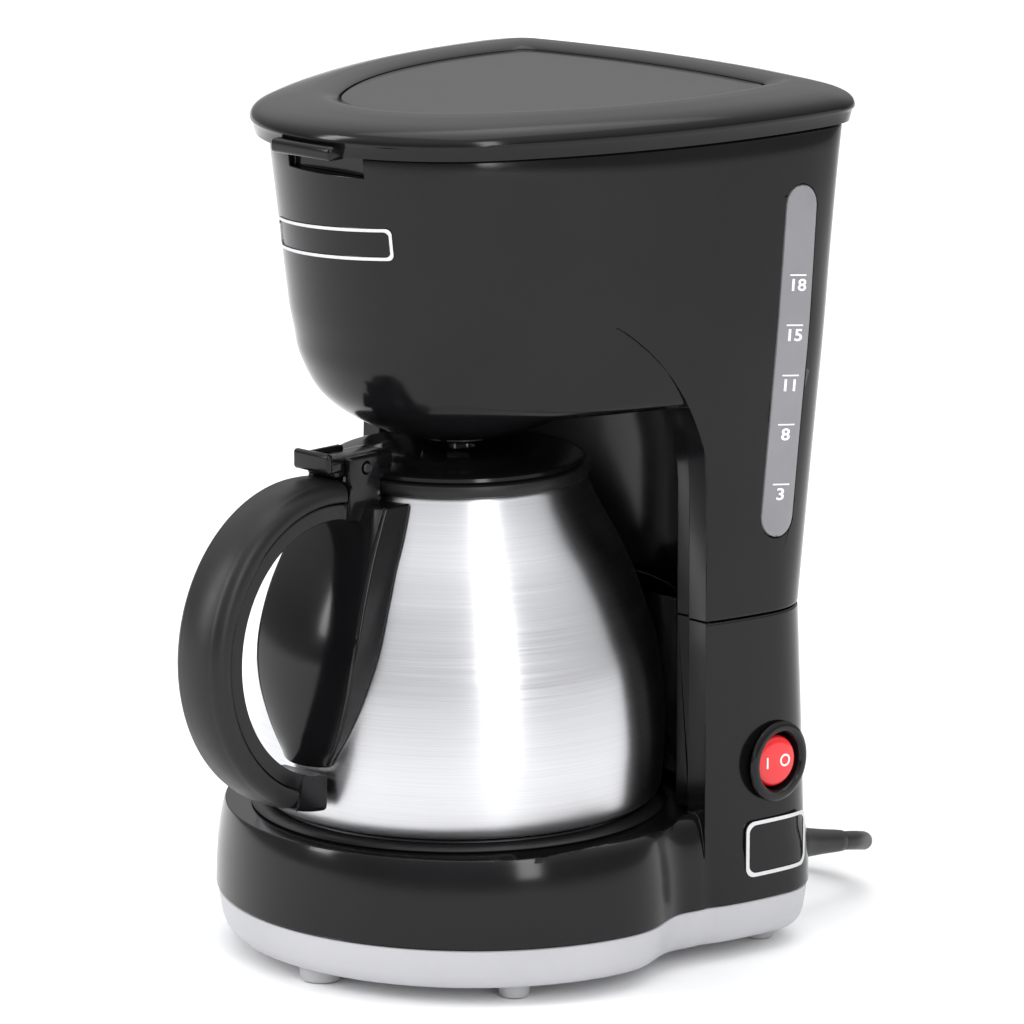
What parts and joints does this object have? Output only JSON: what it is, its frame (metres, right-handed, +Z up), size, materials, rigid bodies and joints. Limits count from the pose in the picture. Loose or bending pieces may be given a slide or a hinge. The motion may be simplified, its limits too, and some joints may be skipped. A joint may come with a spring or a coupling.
{
  "type": "drip coffee maker",
  "caption": "Compact black drip coffee maker with a brushed steel carafe, hinged tank lid, side water gauge and red rocker switch.",
  "frame": {"origin": "centre of the footprint on the floor", "axes": "+Z up, -Y towards the carafe handle (front), +X towards the water gauge and the switch"},
  "size_m": [0.2058, 0.335, 0.2608],
  "materials": {
    "gloss_black": "gloss",
    "matte_black": "matte",
    "grey_plastic": "satin",
    "natural_plastic": "satin",
    "steel": "brushed",
    "dark_steel": "satin",
    "aluminium": "satin",
    "chrome": "polished",
    "brass": "satin",
    "rubber": "matte",
    "silicone": "satin",
    "red_plastic": "gloss",
    "smoke_clear": "gloss",
    "cord_black": "satin"
  },
  "bodies": {
    "body": {"base_pan": "grey_plastic", "foot_front": "rubber", "foot_left": "rubber", "foot_right": "rubber", "foot_rear_left": "rubber", "foot_rear_right": "rubber", "base_screw_1": "steel", "base_screw_2": "steel", "base_screw_3": "steel", "base_screw_4": "steel", "lower_housing": "gloss_black", "upper_housing": "gloss_black", "gauge_window": "smoke_clear", "side_badge": "chrome", "front_badge": "chrome", "lid_pin_left": "steel", "lid_pin_right": "steel", "filter_basket": "matte_black", "basket_handle": "matte_black", "mesh_filter": "steel", "drip_spring": "steel", "valve_cage": "matte_black", "spout_ring": "gloss_black", "check_valve": "natural_plastic", "inlet_hose": "silicone", "outlet_hose": "silicone", "heating_element": "aluminium", "riser_tube": "natural_plastic", "shower_head": "matte_black", "hose_clamp_left": "steel", "hose_clamp_right": "steel", "warming_plate": "dark_steel", "plate_seal": "matte_black", "plate_bracket": "steel", "plate_screw": "steel", "thermostat": "natural_plastic", "thermal_fuse": "brass", "switch_bezel": "gloss_black", "switch_body": "matte_black", "terminal_block": "natural_plastic", "strain_relief": "cord_black", "power_cord": "cord_black", "cord_coil": "cord_black", "plug": "cord_black"},
    "lid": {"lid": "gloss_black", "lid_panel": "matte_black"},
    "carafe": {"carafe_body": "steel", "carafe_collar": "matte_black", "carafe_lid_pin": "steel", "handle_frame": "gloss_black", "handle_grip": "matte_black", "handle_strap": "gloss_black", "handle_screw": "steel"},
    "carafe_cap": {"carafe_lid": "matte_black"},
    "rocker": {"rocker": "red_plastic"},
    "valve": {"drip_valve": "silicone"}
  },
  "joints": [
    {"name": "lid_hinge", "type": "hinge", "parent": "body", "child": "lid", "pos_m": [-0.00056, 0.10139, 0.2508], "axis": [-1, 0, 0], "range_deg": [0, 95]},
    {"name": "carafe_slide", "type": "slide", "parent": "body", "child": "carafe", "axis": [0, -1, 0], "range_m": [0, 0.16]},
    {"name": "carafe_lid_hinge", "type": "hinge", "parent": "carafe", "child": "carafe_cap", "pos_m": [-0.00056, -0.04711, 0.1554], "axis": [1, 0, 0], "range_deg": [0, 2]},
    {"name": "rocker_hinge", "type": "hinge", "parent": "body", "child": "rocker", "pos_m": [0.07344, 0.05589, 0.06], "axis": [0, 0, 1], "range_deg": [0, 16]},
    {"name": "drip_valve_slide", "type": "slide", "parent": "body", "child": "valve", "axis": [0, 0, 1], "range_m": [0, 0.003], "stiffness_N_per_m": 120, "deforming": ["drip_spring"]}
  ]
}
